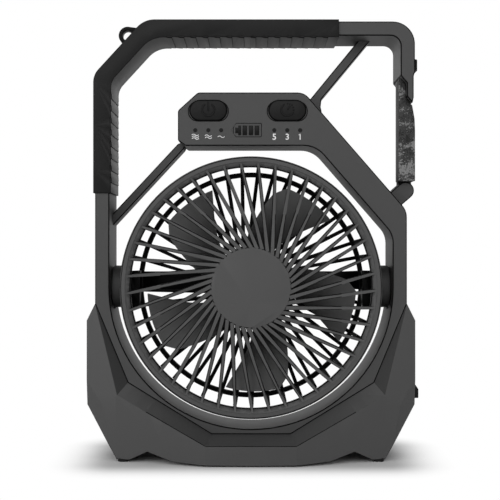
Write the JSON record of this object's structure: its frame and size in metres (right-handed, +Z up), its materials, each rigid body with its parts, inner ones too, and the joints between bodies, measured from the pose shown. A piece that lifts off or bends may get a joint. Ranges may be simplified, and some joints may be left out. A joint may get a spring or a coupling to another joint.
{
  "type": "portable camping fan",
  "caption": "Rechargeable table fan: round head tilting in a faceted base with carrying frame, sprung hanging gate, rubber grip and push-key console.",
  "frame": {"origin": "on the floor under the centre of the frame, midway between front and rear", "axes": "+X to the fan's right as seen from the front, +Y from the front to the rear, +Z up"},
  "size_m": [0.224, 0.084, 0.2964],
  "materials": {
    "shell": "fine matt texture",
    "grip_rubber": "soft matt rubber",
    "key_rubber": "soft matt rubber",
    "black_plastic": "satin black",
    "blade_plastic": "satin",
    "gate_plastic": "fine matt texture",
    "gate_print": "printed blotches, matt",
    "lens": "smoked, glossy",
    "steel": "plated steel",
    "motor_steel": "drawn steel can",
    "cell_wrap": "shrink wrap",
    "circuit_board": "solder mask",
    "bearing_plastic": "smooth acetal",
    "foot_rubber": "matt rubber"
  },
  "bodies": {
    "root": {"base_front_shell": "shell", "base_rear_shell": "shell", "base_screws": "steel", "battery_cell_left_1": "cell_wrap", "battery_cell_left_2": "cell_wrap", "battery_cell_right_1": "cell_wrap", "battery_cell_right_2": "cell_wrap", "battery_gauge": "lens", "cell_spacer_left": "bearing_plastic", "cell_spacer_right": "bearing_plastic", "charge_board": "circuit_board", "control_board": "circuit_board", "foot_front_left": "foot_rubber", "foot_front_right": "foot_rubber", "foot_rear_left": "foot_rubber", "foot_rear_right": "foot_rubber", "frame_front_shell": "shell", "frame_rear_shell": "shell", "frame_screws": "steel", "friction_washer_left": "foot_rubber", "friction_washer_right": "foot_rubber", "gate_pin": "steel", "handle_grip": "grip_rubber", "indicator_lenses": "lens", "key_switches": "black_plastic", "pivot_bush_left": "bearing_plastic", "pivot_bush_right": "bearing_plastic", "tether_eye": "black_plastic", "usb_c_socket_in": "steel", "usb_c_socket_out": "steel"},
    "head": {"front_grille": "shell", "rear_grille": "black_plastic", "motor": "motor_steel", "motor_pod": "black_plastic", "pod_screws": "steel"},
    "impeller": {"impeller": "blade_plastic", "motor_shaft": "steel", "shaft_cap": "black_plastic"},
    "power_key": {"power_key": "key_rubber"},
    "timer_key": {"timer_key": "key_rubber"},
    "gate": {"gate_core": "gate_plastic", "gate_cover": "gate_print"},
    "release_button": {"release_button": "black_plastic"},
    "port_cover": {"port_cover": "key_rubber"}
  },
  "joints": [
    {"name": "head_tilt", "type": "hinge", "parent": "root", "child": "head", "pos_m": [0, 0, 0.1164], "axis": [1, 0, 0], "range_deg": [-135, 135]},
    {"name": "impeller_spin", "type": "hinge", "parent": "head", "child": "impeller", "pos_m": [0, 0, 0.1164], "axis": [0, 1, 0], "continuous": true},
    {"name": "power_key_press", "type": "slide", "parent": "root", "child": "power_key", "axis": [0, 1, 0], "range_m": [0, 0.0012], "stiffness_N_per_m": 700, "springref_m": -0.0004},
    {"name": "timer_key_press", "type": "slide", "parent": "root", "child": "timer_key", "axis": [0, 1, 0], "range_m": [0, 0.0012], "stiffness_N_per_m": 700, "springref_m": -0.0004},
    {"name": "gate_open", "type": "hinge", "parent": "root", "child": "gate", "pos_m": [0.1051, 0, 0.1819], "axis": [0, -1, 0], "range_deg": [0, 32], "stiffness_Nm_per_rad": 0.12, "springref_deg": -22.92},
    {"name": "release_press", "type": "slide", "parent": "root", "child": "release_button", "axis": [-1, 0, 0], "range_m": [0, 0.0011], "stiffness_N_per_m": 500, "springref_m": -0.0004},
    {"name": "port_cover_open", "type": "hinge", "parent": "root", "child": "port_cover", "pos_m": [0.1107, 0, 0.05], "axis": [0, -1, 0], "range_deg": [0, 95], "stiffness_Nm_per_rad": 0.004, "springref_deg": -5.73}
  ]
}
